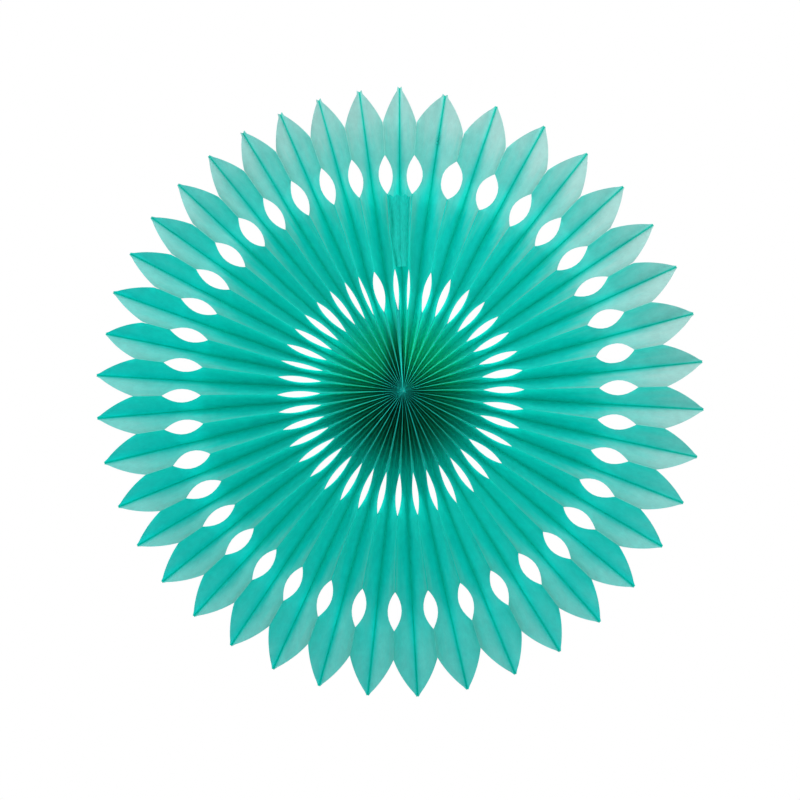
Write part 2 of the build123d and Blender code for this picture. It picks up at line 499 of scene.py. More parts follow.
# %% Points of the tape
TAPE_SPAN = (82.5, 129.3)
TAPE_LIFT = 0.12
TAPE_COLUMNS, TAPE_ROWS = 30, 48
LEFT_EDGE, RIGHT_EDGE = 0.96, 0.80     # shares of the two end leaves that it covers
BRIDGED = 0.85                         # share of the valley's depth
RIB_HEIGHT, RIB_TURNS = 0.1, 26
RIB_SWAY, RIB_SWAY_LENGTH = 0.4, 7     # the ribs sway a little on their way up
TORN_WIDE, TORN_WIDE_LENGTH = 0.05, 6.5    # the two waves of the torn edge
TORN_FINE, TORN_FINE_LENGTH = 0.03, 2.9
END_RAGGED = 12.0                      # the last millimetres at the top are ragged
RAGGED_BY, RAGGED_TURNS = 0.8, 9
HELD_DOWN = 4                          # power: higher holds only the very edge down


def tape_grid():
    """Points of the tape by column along the seam and row across it, and their flat places."""
    grid = np.zeros((TAPE_COLUMNS + 1, TAPE_ROWS + 1, 3))
    flat_grid = np.zeros((TAPE_COLUMNS + 1, TAPE_ROWS + 1, 2))
    spread = openings[0] / 2
    for column, radius in enumerate(np.linspace(*TAPE_SPAN, TAPE_COLUMNS + 1)):
        torn_edge = RIGHT_EDGE + TORN_WIDE * sin(radius / TORN_WIDE_LENGTH)
        torn_edge += TORN_FINE * sin(radius / TORN_FINE_LENGTH)
        across, forward = section(radius, spread)
        top = rise(radius, tightest)
        near_end = ease(radius, TAPE_SPAN[1] - END_RAGGED, TAPE_SPAN[1])
        for row, way in enumerate(np.linspace(-1, 1, TAPE_ROWS + 1)):
            side = 1 if way > 0 else -1
            share = abs(way) * (LEFT_EDGE if side > 0 else torn_edge)
            height = np.interp(share * across[-1], across, forward)
            # The left half gathers the waves of all the leaves at once, the right half has none
            gathered = slice(None) if side > 0 else slice(0)
            base = top - rise(radius, spread) + height + wave(gathered, radius, share)
            rib = RIB_HEIGHT * sin(way * RIB_TURNS + RIB_SWAY * sin(radius / RIB_SWAY_LENGTH))
            bridge = (top - base) * BRIDGED
            lifted = base + TAPE_LIFT + (bridge + rib) * (1 - share**HELD_DOWN)
            ragged = RAGGED_BY * sin(way * RAGGED_TURNS) * near_end
            grid[column, row] = chord_points(0, side, radius, radius + ragged, share, lifted)
            flat_grid[column, row] = (radius, way * LEAF_WIDTH)
    return grid, flat_grid


tape_points, tape_flat = tape_grid()
print("the tape covers", TAPE_SPAN[1] - TAPE_SPAN[0], "mm of the seam")

# %% [markdown]
# ## The tape as a surface
#
# The tape is made as the sheet was, with its own flat places in millimetres, so that its glue
# patches can be drawn at their real size.

# %% Make the tape
tape_faces = []
for column in range(TAPE_COLUMNS):
    for row in range(TAPE_ROWS):
        corner = column * (TAPE_ROWS + 1) + row
        tape_faces.append([corner, corner + 1, corner + TAPE_ROWS + 2, corner + TAPE_ROWS + 1])
corner_flat = tape_flat.reshape(-1, 2)
tape = paper_piece(
    "tape_strip",
    [tuple(point * MM) for point in tape_points.reshape(-1, 3)],
    tape_faces,
    [corner_flat[corner] for face in tape_faces for corner in face],
)
print("tape:", len(tape_faces), "faces")

# %% [markdown]
# ## Colours and nodes
#
# Colours are written as the hex codes of a paint chart, which are sRGB, and one function turns
# them into the linear values that Blender calculates with. A second function adds a node and wires
# it, so that each step of a material below is one readable statement.

# %% Colour and node helpers
EASED = {"interpolation_type": "SMOOTHSTEP"}
FALLING = {**EASED, "To Min": 1.0, "To Max": 0.0}
FROM_NOISE = {"From Min": 0.3, "From Max": 0.7}    # where nearly all values of a noise lie
SCALED = {"operation": "SCALE"}
TIMES = {"operation": "MULTIPLY"}
PLUS = {"operation": "ADD"}
MINUS = {"operation": "SUBTRACT"}
ONE_MINUS = {"operation": "SUBTRACT", 0: 1.0}
TIMES_PLUS = {"operation": "MULTIPLY_ADD"}
COLOURS = {"data_type": "RGBA"}
COLOUR_A, COLOUR_B, MIXED = 6, 7, 2    # sockets of a Mix node that mixes colours


def linear(code):
    """An sRGB hex colour as linear values."""
    values = [int(code[i : i + 2], 16) / 255 for i in (1, 3, 5)]
    return tuple(v / 12.92 if v <= 0.04045 else ((v + 0.055) / 1.055) ** 2.4 for v in values) + (1.0,)


def node(tree, kind, settings=None, links=None):
    """Add a node, set its inputs or properties, and link what feeds it: a node given as a link
    stands for its first output."""
    made = tree.nodes.new(kind)
    for name, value in (settings or {}).items():
        if isinstance(name, int) or name in made.inputs:
            made.inputs[name].default_value = value
        else:
            setattr(made, name, value)
    for name, source in (links or {}).items():
        socket = source.outputs[0] if isinstance(source, bpy.types.Node) else source
        tree.links.new(socket, made.inputs[name])
    return made


print("the dye's brightest glow is", [round(v, 3) for v in linear("#00FBF0")[:3]])

# %% [markdown]
# ## Dyed tissue paper
#
# The real sheet is machine made tissue, about 18 grams a square metre, dyed in the pulp. It shows
# the eye two colours at once. The light that falls on its face comes back pale, because the fibres
# scatter it before it meets much dye. The light that comes through from behind has met all of the
# dye and has lost its red. A Diffuse and a Translucent shader give just that pair: 0.4 of the
# light bounces and 0.6 passes, so each colour is lighter than the share of light it stands for.
# We could use one Principled shader with subsurface light instead, but the sheet has no thickness
# here, and then the glow between the leaves would be missing. Tissue has no gloss.
#
# Everything is placed by where a point lies on the flat strip: its radius in millimetres, and its
# share of the way from the valley to the ridge.

# %% Tissue: where a point lies on the strip
RIDGE_TURN = (0.955, 0.985)     # shares of a leaf: its outermost millimetre, at the ridge
tissue = bpy.data.materials.new("dyed_tissue_paper")
tissue.use_nodes = True
paper = tissue.node_tree
paper.nodes.clear()
strip = node(paper, "ShaderNodeUVMap", {"uv_map": "flat_strip"})
place = node(paper, "ShaderNodeSeparateXYZ", links={0: strip})
along, over = place.outputs["X"], place.outputs["Y"]
from_valley = node(paper, "ShaderNodeMath", {"operation": "PINGPONG", 1: LEAF_WIDTH}, {0: over})
share = node(paper, "ShaderNodeMath", {"operation": "DIVIDE", 1: LEAF_WIDTH}, {0: from_valley})
on_ridge = node(
    paper, "ShaderNodeMapRange",
    {**EASED, "From Min": RIDGE_TURN[0], "From Max": RIDGE_TURN[1]}, {"Value": share},
)
below_ridge = node(paper, "ShaderNodeMath", ONE_MINUS, {1: on_ridge})
print("strip coordinates: radius to", FAN_RADIUS, "mm, length to", FOLDS * LEAF_WIDTH, "mm")

# %% [markdown]
# ## Tissue: pale petals, deep middle
#
# The petals are painted paler than the bunched middle, as painted light where the lamps reach the open
# petals, while the middle stays in painted shade. The pale part reaches in along the ridges in long wedges,
# where light still falls near each ridge, with a soft and streaky border. Beside each valley a band stays
# dark as painted shade, and it narrows towards the tip. A border that depends on the share as well as the
# radius draws the wedges, and a stretched noise moves it to and fro.

# %% Tissue: the pale zone
STREAK_LENGTH, STREAK_WIDTH = FAN_RADIUS / 7, 5.0    # 29 by 5 mm
STREAK_DRIFT = 8.0                   # how far a streak moves the border
PALE_STARTS, PALE_FULL = 126.0, 168.0    # radii, in a valley
WEDGE_REACH, WEDGE_SOFT = 57.0, 18.0     # how far a ridge draws each of them in
RIDGE_LAGS = 0.7                     # the turn of a ridge follows the wedge this much less
DARK_VALLEY_ALONG = (150.0, 190.0)          # radii between which the dark band of painted shade narrows
DARK_VALLEY_WIDTH = (0.38, 0.16)            # its shares of the leaf there
inwards = node(paper, "ShaderNodeMath", {**TIMES_PLUS, 1: -RIDGE_LAGS}, {0: on_ridge, 2: share})
smear = node(
    paper, "ShaderNodeMapping", {"Scale": (1 / STREAK_LENGTH, 1 / STREAK_WIDTH, 1.0)},
    {"Vector": strip},
)
streak = node(paper, "ShaderNodeTexNoise", {"Scale": 1.0, "Detail": 2.0}, {"Vector": smear})
drift = node(
    paper, "ShaderNodeMapRange",
    {**FROM_NOISE, "To Min": -STREAK_DRIFT, "To Max": STREAK_DRIFT}, {"Value": streak},
)
drifted = node(paper, "ShaderNodeMath", PLUS, {0: along, 1: drift})
squared = node(paper, "ShaderNodeMath", TIMES, {0: inwards, 1: inwards})
pale_from = node(
    paper, "ShaderNodeMath", {**TIMES_PLUS, 1: -WEDGE_REACH, 2: PALE_STARTS}, {0: squared},
)
pale_to = node(paper, "ShaderNodeMath", {**TIMES_PLUS, 1: -WEDGE_SOFT, 2: PALE_FULL}, {0: inwards})
# Painted light: pale where the lamps reach, drawn in along the ridges
painted_light_zone = node(
    paper, "ShaderNodeMapRange", EASED,
    {"Value": drifted, "From Min": pale_from, "From Max": pale_to},
)
# Painted shade: a dark band beside each valley, narrowing towards the tip
dark_valley_width = node(
    paper, "ShaderNodeMapRange",
    {"From Min": DARK_VALLEY_ALONG[0], "From Max": DARK_VALLEY_ALONG[1],
     "To Min": DARK_VALLEY_WIDTH[0], "To Max": DARK_VALLEY_WIDTH[1]}, {"Value": along},
)
off_dark_valley = node(
    paper, "ShaderNodeMapRange", {**EASED, "From Min": 0.0}, {"Value": share, "From Max": dark_valley_width},
)
outer = node(paper, "ShaderNodeMath", TIMES, {0: painted_light_zone, 1: off_dark_valley})
print("the pale zone starts at radius", PALE_STARTS, "and is drawn in by up to", WEDGE_REACH, "mm")

# %% [markdown]
# ## Tissue: fading
# Faces that look up are painted paler, as painted light from the lamps above: the tips more than the rest,
# and the upper right more than the lower left, where the lamps are nearer. There the glow of the tips is
# painted to let some red through, which is painted light too. The face's own normal says whether it looks up.

# %% Tissue: painted light on faces that look up
LOOKS_UP = (-0.8, 0.4)               # upward part of the normal: from least to full painted light
LEAST_LIT = 0.1
TIP_ZONE = (154.0, 186.0)
LAMPS_DIRECTION = (2.5, 0.0, 4.35)       # 60 degrees above level to the right, 5 to a metre
LAMP_SIDE_SPAN = (-0.2, 0.75)
# Shares of the painted light: everywhere, more on the lamps' side, more at the tips
LIT_SHARE, LIT_BY_LAMP_SIDE, LIT_AT_TIP = 0.59, 0.25, 0.32
# Shares of the painted red glow at the tips
RED_GLOW_EVERYWHERE, RED_GLOW_AT_TIP = 0.5, 0.5
placed = node(paper, "ShaderNodeTexCoord")
facing = node(paper, "ShaderNodeSeparateXYZ", links={0: placed.outputs["Normal"]})
# Painted light: faces that look up are paler
lit_from_above = node(
    paper, "ShaderNodeMapRange",
    {**EASED, "From Min": LOOKS_UP[0], "From Max": LOOKS_UP[1], "To Min": LEAST_LIT, "To Max": 1.0},
    {"Value": facing.outputs["Z"]},
)
tip = node(
    paper, "ShaderNodeMapRange",
    {**EASED, "From Min": TIP_ZONE[0], "From Max": TIP_ZONE[1]}, {"Value": drifted},
)
# Painted light: stronger on the upper right, nearer the lamps
towards_lamps = node(
    paper, "ShaderNodeVectorMath", {"operation": "DOT_PRODUCT", 1: LAMPS_DIRECTION},
    {0: placed.outputs["Object"]},
)
lamp_side = node(
    paper, "ShaderNodeMapRange",
    {**EASED, "From Min": LAMP_SIDE_SPAN[0], "From Max": LAMP_SIDE_SPAN[1]},
    {"Value": towards_lamps.outputs["Value"]},
)
lit_by_side = node(
    paper, "ShaderNodeMath", {**TIMES_PLUS, 1: LIT_BY_LAMP_SIDE, 2: LIT_SHARE}, {0: lamp_side},
)
painted_light_share = node(paper, "ShaderNodeMath", {**TIMES_PLUS, 1: LIT_AT_TIP}, {0: tip, 2: lit_by_side})
lit_outer_share = node(paper, "ShaderNodeMath", TIMES, {0: outer, 1: painted_light_share})
painted_paleness = node(paper, "ShaderNodeMath", TIMES, {0: lit_outer_share, 1: lit_from_above})
# Painted light: the glow of the tips lets some red through
red_glow_share = node(
    paper, "ShaderNodeMath", {**TIMES_PLUS, 1: RED_GLOW_AT_TIP, 2: RED_GLOW_EVERYWHERE}, {0: tip},
)
lit_tip_red = node(paper, "ShaderNodeMath", TIMES, {0: red_glow_share, 1: lamp_side})
# The share printed here is where the painted light on faces that look up starts
print("fading in the pale zone starts from", LIT_SHARE, "of the way to pale")

# %% [markdown]
# ## Tissue: the bunched middle
#
# Towards the hub the folded paper lies pressed together, and light has to cross many layers of dye, so the
# same dye looks deep green there. The lamps alone gave only part of this depth, so the rest is painted shade,
# mixed into the colour. Only the outermost turn of each ridge is kept out of this painted shade and stays as
# light as the rest. The upper half is painted lighter than the lower one, as painted light from above, and a
# dark gap just left of the seam is a painted shadow.

# %% Tissue: painted shade and light in the middle
HUB_SHADE_RADII = (20.0, 59.0)          # radii: full painted shade inside the first, none past the second
LOWER, UPPER = -45 * MM, 30 * MM     # heights between which the middle turns from painted shade to painted light
GAP_LEFT = 3 * MM
GAP_EDGES = (2 * MM, 9 * MM)
GAP_SHADOW = 0.25
# Painted shade: the middle deepens towards the hub
bunched = node(
    paper, "ShaderNodeMapRange",
    {**FALLING, "From Min": HUB_SHADE_RADII[0], "From Max": HUB_SHADE_RADII[1]}, {"Value": along},
)
pressed = node(paper, "ShaderNodeMath", TIMES, {0: bunched, 1: below_ridge})
where = node(paper, "ShaderNodeSeparateXYZ", links={0: placed.outputs["Object"]})
# Painted light on the upper half, painted shade on the lower one
upper = node(
    paper, "ShaderNodeMapRange", {**EASED, "From Min": LOWER, "From Max": UPPER},
    {"Value": where.outputs["Z"]},
)
# Painted shadow in the gap just left of the seam
from_gap = node(paper, "ShaderNodeMath", {**PLUS, 1: GAP_LEFT}, {0: where.outputs["X"]})
beside_gap = node(paper, "ShaderNodeMath", {"operation": "ABSOLUTE"}, {0: from_gap})
outside_gap = node(
    paper, "ShaderNodeMapRange",
    {**EASED, "From Min": GAP_EDGES[0], "From Max": GAP_EDGES[1], "To Min": GAP_SHADOW, "To Max": 1.0},
    {"Value": beside_gap},
)
lighter = node(paper, "ShaderNodeMath", TIMES, {0: upper, 1: outside_gap})
print("the middle is pressed tight inside radius", HUB_SHADE_RADII[0], "and open from", HUB_SHADE_RADII[1])

# %% [markdown]
# ## Tissue: its two colours
#
# The face colour is what bounces and the glow colour is what passes. Each is chosen by the same masks: open
# or in the middle's painted shade, middle or petal, with painted light or without. The pale and deep faces,
# and the lit and shaded colours of the middle, are painted light and painted shade. The glow holds no red at
# all but at the tips, where painted light lets some through.

# %% Tissue: face and glow
# Lit and shaded copies of the paper's colours: painted light and painted shade
SHADED_DEEP_FACE, LIT_PALE_FACE = linear("#2CBCB7"), linear("#BAB9BA")
HUB_FACE_SHADED, HUB_FACE_LIT = linear("#2C7455"), linear("#2CC4A3")
HUB_GLOW_SHADED, HUB_GLOW_LIT = linear("#00A97A"), linear("#00FCD8")
INNER_GLOW, OUTER_GLOW = linear("#00FBF0"), linear("#00FAEE")
PETAL_GLOW, LIT_TIP_GLOW = linear("#00F9EF"), linear("#9AF6ED")
GLOW_CHANGES = (96.0, 136.0)         # radii between which the inner glow turns into the outer one
open_face = node(
    paper, "ShaderNodeMix", {**COLOURS, COLOUR_A: SHADED_DEEP_FACE, COLOUR_B: LIT_PALE_FACE}, {0: painted_paleness},
)
hub_face = node(
    paper, "ShaderNodeMix", {**COLOURS, COLOUR_A: HUB_FACE_SHADED, COLOUR_B: HUB_FACE_LIT},
    {0: lighter},
)
hub_glow = node(
    paper, "ShaderNodeMix", {**COLOURS, COLOUR_A: HUB_GLOW_SHADED, COLOUR_B: HUB_GLOW_LIT},
    {0: lighter},
)
petal_glow = node(
    paper, "ShaderNodeMix", {**COLOURS, COLOUR_A: PETAL_GLOW, COLOUR_B: LIT_TIP_GLOW}, {0: lit_tip_red},
)
flatter = node(
    paper, "ShaderNodeMapRange",
    {**EASED, "From Min": GLOW_CHANGES[0], "From Max": GLOW_CHANGES[1]}, {"Value": along},
)
deep_glow = node(
    paper, "ShaderNodeMix", {**COLOURS, COLOUR_A: INNER_GLOW, COLOUR_B: OUTER_GLOW}, {0: flatter},
)
open_glow = node(
    paper, "ShaderNodeMix", COLOURS,
    {0: outer, COLOUR_A: deep_glow.outputs[MIXED], COLOUR_B: petal_glow.outputs[MIXED]},
)
face = node(
    paper, "ShaderNodeMix", COLOURS,
    {0: pressed, COLOUR_A: open_face.outputs[MIXED], COLOUR_B: hub_face.outputs[MIXED]},
)
glow = node(
    paper, "ShaderNodeMix", COLOURS,
    {0: pressed, COLOUR_A: open_glow.outputs[MIXED], COLOUR_B: hub_glow.outputs[MIXED]},
)
print("tissue nodes so far:", len(paper.nodes))

# %% [markdown]
# ## Tissue: creases
#
# Three marks of painted shade darken the paper along its folds. A pressed valley has a dark line of painted
# shade, strongest out on the petals. A turned over ridge between the hub and the outer eyes gets painted
# shade along its turn. And in the middle ring the valley lies against the leaf beside it, which shades a soft
# band that fades out before the middle of the leaf; that shade is painted too. All three follow the folds on
# the flat leaf.

# %% Tissue: shade along valleys and ridges
CREASE = (0.025, 0.11)               # shares of a leaf over which a valley's line fades out
CREASE_DARKENS = (120.0, 155.0)
CREASE_SHADE = (0.04, 0.18)
RIDGE_DARKENS, RIDGE_CLEARS = (6.0, 38.0), (62.0, 86.0)
RIDGE_SHADE = (0.08, 0.42)
BAND = (0.04, 0.42)                  # shares of a leaf over which the soft band fades out
BAND_SHADE = 0.18
BAND_CLEARS = (122.0, 155.0)
# Painted shade: the dark line in each valley
off_crease = node(
    paper, "ShaderNodeMapRange", {**EASED, "From Min": CREASE[0], "From Max": CREASE[1]},
    {"Value": share},
)
in_crease = node(paper, "ShaderNodeMath", ONE_MINUS, {1: off_crease})
crease_depth = node(
    paper, "ShaderNodeMapRange",
    {**EASED, "From Min": CREASE_DARKENS[0], "From Max": CREASE_DARKENS[1],
     "To Min": CREASE_SHADE[0], "To Max": CREASE_SHADE[1]}, {"Value": along},
)
valley_shade = node(paper, "ShaderNodeMath", TIMES, {0: in_crease, 1: crease_depth})
# Painted shade along the ridges between the hub and the outer eyes
from_hub = node(
    paper, "ShaderNodeMapRange",
    {**EASED, "From Min": RIDGE_DARKENS[0], "From Max": RIDGE_DARKENS[1],
     "To Min": RIDGE_SHADE[0], "To Max": RIDGE_SHADE[1]}, {"Value": along},
)
to_eyes = node(
    paper, "ShaderNodeMapRange",
    {**FALLING, "From Min": RIDGE_CLEARS[0], "From Max": RIDGE_CLEARS[1]}, {"Value": along},
)
ridge_shade_span = node(paper, "ShaderNodeMath", TIMES, {0: from_hub, 1: to_eyes})
ridge_shade = node(paper, "ShaderNodeMath", TIMES, {0: ridge_shade_span, 1: on_ridge})
near_valley = node(
    paper, "ShaderNodeMapRange",
    {**EASED, "From Min": BAND[0], "From Max": BAND[1], "To Min": BAND_SHADE, "To Max": 0.0},
    {"Value": share},
)
past_hub = node(paper, "ShaderNodeMath", ONE_MINUS, {1: bunched})
before_eyes = node(
    paper, "ShaderNodeMapRange",
    {**FALLING, "From Min": BAND_CLEARS[0], "From Max": BAND_CLEARS[1]}, {"Value": along},
)
middle_ring = node(paper, "ShaderNodeMath", TIMES, {0: past_hub, 1: before_eyes})
band_shade = node(paper, "ShaderNodeMath", TIMES, {0: near_valley, 1: middle_ring})
print("a valley's line fades out within", CREASE[1] * LEAF_WIDTH, "mm, its band within",
      BAND[1] * LEAF_WIDTH)

# %% [markdown]
# ## Tissue: one crushed spot
#
# The petal right of the seam was crushed in one place, and a few short creases are left within about 6 mm of
# it. Their shade is painted in as dark lines along the borders between the cells of a Voronoi pattern, which
# look like crumpled paper.
# Then all the shades are taken off together. Light that finds its way between two leaves loses its
# blue first, so the valleys also turn a little greener.

# %% Tissue: the crushed spot, and all the shades together
CRUSHED_AT = (168.0, 80 * LEAF_WIDTH, 0.0)
CRUSHED_EDGE = (1.5, 6.5)
CRUSHED_SHADE = 0.35
CRUMPLE = 10 / 3                     # millimetres between creases
CRACK_WIDTH = 0.18
UNTINTED, GREENER = (1.0, 1.0, 1.0, 1.0), (1.0, 1.0, 0.35, 1.0)
# Painted shade in the creases of the crushed spot
from_spot = node(
    paper, "ShaderNodeVectorMath", {"operation": "DISTANCE", 1: CRUSHED_AT}, {0: strip},
)
in_spot = node(
    paper, "ShaderNodeMapRange",
    {**EASED, "From Min": CRUSHED_EDGE[0], "From Max": CRUSHED_EDGE[1],
     "To Min": CRUSHED_SHADE, "To Max": 0.0}, {"Value": from_spot.outputs["Value"]},
)
cells = node(
    paper, "ShaderNodeTexVoronoi", {"feature": "DISTANCE_TO_EDGE", "Scale": 1 / CRUMPLE},
    {"Vector": strip},
)
cracks = node(
    paper, "ShaderNodeMapRange", {**FALLING, "From Min": 0.0, "From Max": CRACK_WIDTH},
    {"Value": cells.outputs["Distance"]},
)
crushed = node(paper, "ShaderNodeMath", TIMES, {0: in_spot, 1: cracks})
tone = node(paper, "ShaderNodeMath", ONE_MINUS, {1: valley_shade})
for shade in (ridge_shade, band_shade, crushed):
    tone = node(paper, "ShaderNodeMath", MINUS, {0: tone, 1: shade})
hidden = node(paper, "ShaderNodeMath", PLUS, {0: valley_shade, 1: band_shade})
greener = node(
    paper, "ShaderNodeMix", {**COLOURS, COLOUR_A: UNTINTED, COLOUR_B: GREENER}, {0: hidden},
)
print("the crushed spot lies at radius", CRUSHED_AT[0])

# %% [markdown]
# ## Tissue: clouds and fibres
#
# Held to the light, tissue shows clouds of thicker and thinner fibre about 6 mm wide. Its fibres
# are far finer than a pixel here, so they are drawn coarser than real, at 3 by 0.6 mm, slanted a
# little against the strip. The clouds also cockle the surface by a fraction of a millimetre.

# %% Tissue: grain, and the shader
CLOUD = 6.25
FIBRE_LENGTH, FIBRE_WIDTH = FAN_RADIUS / 70, 0.625
FIBRE_SLANT = 0.4
COCKLE, COCKLE_SHARE = 0.25 * MM, 0.5
PASSES = 0.6
cloud = node(
    paper, "ShaderNodeTexNoise", {"Scale": 1 / CLOUD, "Detail": 3.0, "Roughness": 0.6},
    {"Vector": strip},
)
stretch = node(
    paper, "ShaderNodeMapping",
    {"Scale": (1 / FIBRE_LENGTH, 1 / FIBRE_WIDTH, 1.0), "Rotation": (0, 0, FIBRE_SLANT)},
    {"Vector": strip},
)
fibre = node(paper, "ShaderNodeTexNoise", {"Scale": 1.0, "Detail": 2.0}, {"Vector": stretch})
cloudy = node(
    paper, "ShaderNodeMapRange", {**FROM_NOISE, "To Min": 0.95, "To Max": 1.05}, {"Value": cloud},
)
fibrous = node(
    paper, "ShaderNodeMapRange", {**FROM_NOISE, "To Min": 0.97, "To Max": 1.03}, {"Value": fibre},
)
uneven = node(paper, "ShaderNodeMath", TIMES, {0: cloudy, 1: fibrous})
grain = node(paper, "ShaderNodeMath", TIMES, {0: uneven, 1: tone})
tint = greener.outputs[MIXED]
green_face = node(paper, "ShaderNodeVectorMath", TIMES, {0: face.outputs[MIXED], 1: tint})
green_glow = node(paper, "ShaderNodeVectorMath", TIMES, {0: glow.outputs[MIXED], 1: tint})
face_tone = node(paper, "ShaderNodeVectorMath", SCALED, {0: green_face, "Scale": grain})
glow_tone = node(paper, "ShaderNodeVectorMath", SCALED, {0: green_glow, "Scale": grain})
cockled = node(
    paper, "ShaderNodeBump", {"Distance": COCKLE, "Strength": COCKLE_SHARE}, {"Height": cloud},
)
bounces = node(paper, "ShaderNodeBsdfDiffuse", links={"Color": face_tone, "Normal": cockled})
passes = node(paper, "ShaderNodeBsdfTranslucent", links={"Color": glow_tone, "Normal": cockled})
both = node(paper, "ShaderNodeMixShader", {"Fac": PASSES}, {1: bounces, 2: passes})
node(paper, "ShaderNodeOutputMaterial", links={"Surface": both})
sheet.data.materials.append(tissue)
print("tissue material:", len(paper.nodes), "nodes")

# %% [markdown]
# ## Glued tissue tape
#
# The tape is the same tissue soaked with glue. Glue fills the air between the fibres, so the paper
# turns more saturated and a little patchy, in patches about 3 mm wide, and half of the light
# passes. It lies over the sheet, so it has its own small material instead of a mask in the first.

# %% The tape's material
GLUE_PATCH = 20 / 7
GLUED_PASSES = 0.5
GLUED_FACE, GLUED_GLOW = linear("#2CC4BD")[:3], linear("#00F2E6")[:3]
glued = bpy.data.materials.new("glued_tissue_tape")
glued.use_nodes = True
film = glued.node_tree
film.nodes.clear()
tape_place = node(film, "ShaderNodeUVMap", {"uv_map": "flat_strip"})
soaked = node(film, "ShaderNodeTexNoise", {"Scale": 1 / GLUE_PATCH, "Detail": 2.0}, {"Vector": tape_place})
patchy = node(
    film, "ShaderNodeMapRange",
    {**FROM_NOISE, "To Min": 0.9, "To Max": 1.1}, {"Value": soaked},
)
film_face = node(film, "ShaderNodeVectorMath", {**SCALED, 0: GLUED_FACE}, {"Scale": patchy})
film_glow = node(film, "ShaderNodeVectorMath", {**SCALED, 0: GLUED_GLOW}, {"Scale": patchy})
film_bounces = node(film, "ShaderNodeBsdfDiffuse", links={"Color": film_face})
film_passes = node(film, "ShaderNodeBsdfTranslucent", links={"Color": film_glow})
film_both = node(film, "ShaderNodeMixShader", {"Fac": GLUED_PASSES}, {1: film_bounces, 2: film_passes})
node(film, "ShaderNodeOutputMaterial", links={"Surface": film_both})
tape.data.materials.append(glued)
print("tape material:", len(film.nodes), "nodes")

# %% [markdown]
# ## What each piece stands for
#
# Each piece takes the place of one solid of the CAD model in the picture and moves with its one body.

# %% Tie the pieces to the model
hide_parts("pleated_sheet")
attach(sheet, "root")
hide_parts("seam_tape")
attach(tape, "root")
print("pieces:", sheet.name, tape.name)

# %% [markdown]
# ## The room's light
#
# Tissue on a white background is lit from both sides, and its colour comes more from the light
# behind it than from the light in front. So the room is bright behind the fan, most of all below,
# and nearly dark in front. The background itself has to look plain white, whatever the room does:
# camera rays, mirror rays and rays through clear glass see white at a strength of 1. A ray that
# the paper scatters on its way through counts as a transmission ray too, but as a diffuse one as
# well, and that is how it is told apart, because it has to find the lit room.

# %% The world
BEHIND_ABOVE, BEHIND_BELOW, IN_FRONT = 0.65, 2.12, 0.02
BLEND = 0.1     # how softly the four parts of the room meet
world = bpy.data.worlds.new("studio")
bpy.context.scene.world = world
world.use_nodes = True
room = world.node_tree
room.nodes.clear()
heading = node(room, "ShaderNodeTexCoord")
axes = node(room, "ShaderNodeSeparateXYZ", links={"Vector": heading.outputs["Generated"]})
behind = node(
    room, "ShaderNodeMapRange",
    {"From Min": -BLEND, "From Max": BLEND, "To Min": BEHIND_BELOW, "To Max": BEHIND_ABOVE},
    {"Value": axes.outputs["Z"]},
)
strength = node(
    room, "ShaderNodeMapRange",
    {"From Min": -BLEND, "From Max": BLEND, "To Min": IN_FRONT},
    {"Value": axes.outputs["Y"], "To Max": behind},
)
lit = node(room, "ShaderNodeBackground", links={"Strength": strength})
white = node(room, "ShaderNodeBackground", {"Color": (1, 1, 1, 1), "Strength": 1.0})
ray = node(room, "ShaderNodeLightPath")
clear = node(
    room, "ShaderNodeMath", {"operation": "GREATER_THAN"},
    {0: ray.outputs["Is Transmission Ray"], 1: ray.outputs["Is Diffuse Ray"]},
)
mirrored = node(room, "ShaderNodeMath", {"operation": "MAXIMUM"}, {0: ray.outputs["Is Glossy Ray"], 1: clear})
shown = node(room, "ShaderNodeMath", {"operation": "MAXIMUM"}, {0: ray.outputs["Is Camera Ray"], 1: mirrored})
pick = node(room, "ShaderNodeMixShader", links={"Fac": shown, 1: lit, 2: white})
node(room, "ShaderNodeOutputWorld", links={"Surface": pick})
print("room:", BEHIND_ABOVE, "behind above,", BEHIND_BELOW, "behind below,", IN_FRONT, "in front")

# %% [markdown]
# ## Lamps
#
# From the front come three soft boxes and one large far lamp, all from above, so the faces that
# look up are the pale ones. The levels are plain: each says how brightly its lamp lights a sheet
# that faces it, where 1 shows a colour about as it is written. The pressed middle swallows light
# and needs some of its own, so two narrow spots are aimed there from the upper left and right.
# Steep pleats catch a lamp only from the side, which is why they stand so far off the axis.

# %% Hang the lamps
SOFT_BOX_SIZE = 0.25
FAR_LAMP_BLUR = 25
SPOT_ANGLE = 8
SPOT_AWAY = 0.7
SPOT_BULB = 0.05
HUB_FRONT = Vector((0, -0.02, 0))


def direction(off_axis, toward):
    """Off_axis degrees from straight in front of the fan, towards an angle on its face."""
    tilt, turn = radians(off_axis), radians(toward)
    return Vector((sin(tilt) * cos(turn), -cos(tilt), sin(tilt) * sin(turn)))


def hang(name, lamp, place, back):
    """Put a lamp at a place; back points from what it lights towards the lamp."""
    holder = bpy.data.objects.new(name, lamp)
    bpy.context.scene.collection.objects.link(holder)
    holder.location = place
    holder.rotation_euler = back.to_track_quat("Z", "Y").to_euler()
    return holder


def soft_box(name, place, level):
    """A round soft lamp aimed at the fan's centre."""
    spot = Vector(place)
    lamp = bpy.data.lights.new(name, "AREA")
    lamp.shape = "DISK"
    lamp.size = SOFT_BOX_SIZE
    lamp.energy = level * 4 * pi * spot.length_squared * pi / 4
    hang(name, lamp, spot, spot).visible_camera = False


def far_lamp(name, off_axis, toward, level):
    """A large lamp far away."""
    lamp = bpy.data.lights.new(name, "SUN")
    lamp.energy = pi * level
    lamp.angle = radians(FAR_LAMP_BLUR)
    hang(name, lamp, (0, 0, 0), direction(off_axis, toward))


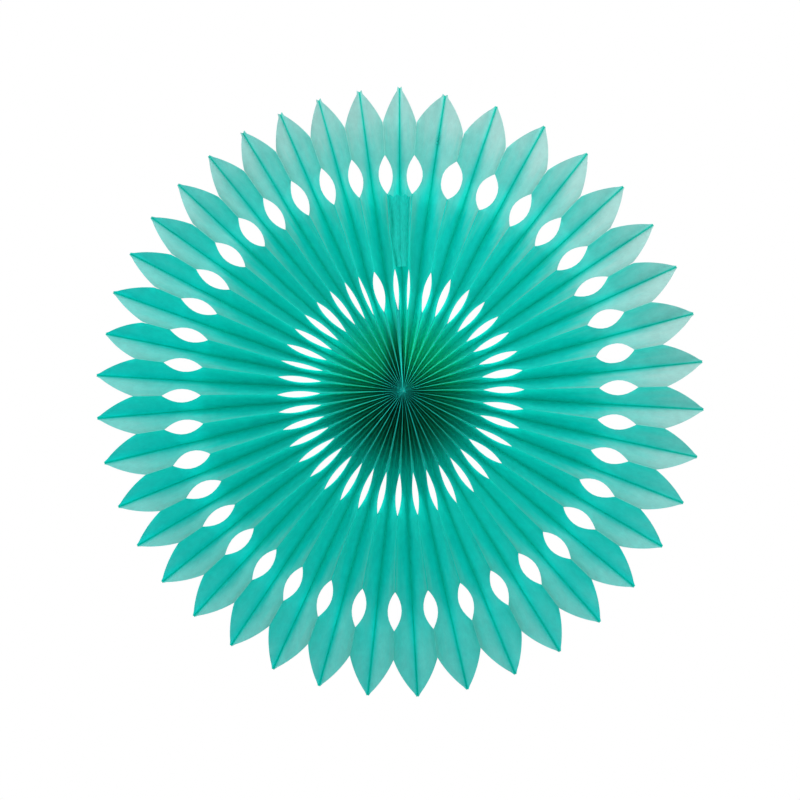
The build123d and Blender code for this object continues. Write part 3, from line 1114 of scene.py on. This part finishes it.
def narrow_spot(name, off_axis, toward, level):
    """A spot on the bunched middle whose light fades out towards its edge."""
    lamp = bpy.data.lights.new(name, "SPOT")
    lamp.spot_size = radians(SPOT_ANGLE)
    lamp.spot_blend = 1.0
    lamp.shadow_soft_size = SPOT_BULB
    lamp.energy = 4 * pi * pi * SPOT_AWAY**2 * level
    back = direction(off_axis, toward)
    hang(name, lamp, back * SPOT_AWAY + HUB_FRONT, back)


soft_box("key_right", (0.25, -0.35, 0.35), 0.45)
soft_box("side_right", (0.45, -0.25, 0.2), 0.16)
soft_box("key_left", (-0.3, -0.3, 0.4), 0.40)
far_lamp("upper_left", 50, 135, 0.36)
narrow_spot("middle_from_right", 54, 62, 1.2)
narrow_spot("middle_from_left", 54, 122, 2.3)

# %% [markdown]
# ## The studio floor
#
# A round floor, rolled with matt pale paint, lies half a metre below the fan. A roller leaves
# faint patches the width of its nap. The floor shows only in views from above, and its paint
# bounces a little of the room's light back up.

# %% The floor
FLOOR_DEPTH = 0.5
FLOOR_RADIUS = 1.2
FLOOR_SIDES = 96
ROLLER_PATCHES = 60.0    # in a metre, so each is 17 mm wide
rim = [
    (FLOOR_RADIUS * cos(angle), FLOOR_RADIUS * sin(angle), -FLOOR_DEPTH)
    for angle in np.linspace(0, 2 * pi, FLOOR_SIDES + 1)[:-1]
]
floor_mesh = bpy.data.meshes.new("pale_floor")
floor_mesh.from_pydata(rim, [], [list(range(FLOOR_SIDES))])
floor = bpy.data.objects.new("pale_floor", floor_mesh)
bpy.context.scene.collection.objects.link(floor)
painted = bpy.data.materials.new("painted_studio_floor")
painted.use_nodes = True
paint = painted.node_tree
paint.nodes.clear()
floor_place = node(paint, "ShaderNodeTexCoord")
rolled = node(
    paint, "ShaderNodeTexNoise", {"Scale": ROLLER_PATCHES, "Detail": 3.0},
    {"Vector": floor_place.outputs["Object"]},
)
pale = node(
    paint, "ShaderNodeMapRange",
    {**FROM_NOISE, "To Min": 0.88, "To Max": 0.92}, {"Value": rolled},
)
matt = node(paint, "ShaderNodeBsdfDiffuse", links={"Color": pale})
node(paint, "ShaderNodeOutputMaterial", links={"Surface": matt})
floor_mesh.materials.append(painted)
print("floor:", 2 * FLOOR_RADIUS, "m across")

# %% [markdown]
# ## The camera
#
# The photo was taken from straight in front and well away, so its perspective is weak. One pixel
# of its 800 covers 0.66 mm at the wall, which gives the field of view, and the fan's centre lies
# a few pixels above the middle of the picture.

# %% Aim the camera
PHOTO_WIDTH = 800
PIXEL = 0.660 * MM
DISTANCE = 2.4
CENTRE_ABOVE = 7 * PIXEL
lens = bpy.data.cameras.new("camera")
lens.lens = lens.sensor_width * DISTANCE / (PHOTO_WIDTH * PIXEL)
camera = bpy.data.objects.new("camera", lens)
bpy.context.scene.collection.objects.link(camera)
camera.location = (0, -DISTANCE, -CENTRE_ABOVE)
camera.rotation_euler = (radians(90), 0, 0)
bpy.context.scene.camera = camera
bpy.context.scene.view_settings.view_transform = "Standard"
print("lens:", round(lens.lens), "mm")
